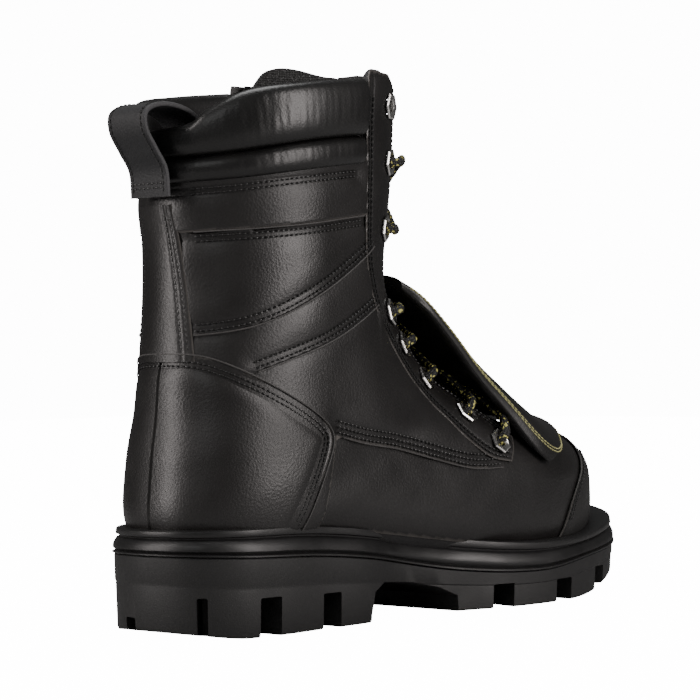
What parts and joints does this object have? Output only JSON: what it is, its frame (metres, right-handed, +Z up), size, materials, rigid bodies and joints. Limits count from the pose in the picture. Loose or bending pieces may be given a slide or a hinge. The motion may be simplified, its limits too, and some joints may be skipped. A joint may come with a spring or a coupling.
{
  "type": "metatarsal guard boot",
  "caption": "Black leather lace-up safety work boot for the right foot, with a padded collar, an arched outer metatarsal guard and a deep lugged rubber sole.",
  "frame": {"origin": "middle of the boot's box, at the floor it stands on", "axes": "+Y to the toe, +X to the outer side of the right foot, +Z up"},
  "size_m": [0.1154, 0.3188, 0.251],
  "materials": {
    "upper_leather": "smooth full-grain black leather, fine grain, satin",
    "cap_leather": "tougher black leather of the toe cap, matt",
    "collar_leather": "soft padded black leather, slightly glossy",
    "guard_leather": "black leather with pale yellow stitching on its border",
    "strap_leather": "matt black pull strap",
    "tongue_cloth": "black padded mesh cloth",
    "insole_cloth": "dark cloth insole",
    "lace_cord": "round black braid with yellow flecks",
    "band_rubber": "moulded black rubber band, semi-gloss",
    "sole_rubber": "matt black lugged rubber",
    "eyelet_metal": "bright nickel"
  },
  "bodies": {
    "root": {"upper": "upper_leather", "counter": "upper_leather", "backstay": "upper_leather", "toe_cap": "cap_leather", "cuff": "upper_leather", "collar": "collar_leather", "collar_roll": "collar_leather", "tongue": "tongue_cloth", "facing_outer": "upper_leather", "facing_inner": "upper_leather", "guard": "guard_leather", "pull_loop": "strap_leather", "midsole": "band_rubber", "outsole": "sole_rubber", "insole": "insole_cloth", "laces": "lace_cord", "eyelet_outer_1": "eyelet_metal", "eyelet_outer_2": "eyelet_metal", "eyelet_outer_3": "eyelet_metal", "eyelet_outer_4": "eyelet_metal", "eyelet_outer_5": "eyelet_metal", "eyelet_outer_6": "eyelet_metal", "eyelet_outer_7": "eyelet_metal", "eyelet_outer_8": "eyelet_metal", "eyelet_inner_1": "eyelet_metal", "eyelet_inner_2": "eyelet_metal", "eyelet_inner_3": "eyelet_metal", "eyelet_inner_4": "eyelet_metal", "eyelet_inner_5": "eyelet_metal", "eyelet_inner_6": "eyelet_metal", "eyelet_inner_7": "eyelet_metal", "eyelet_inner_8": "eyelet_metal"}
  },
  "joints": []
}
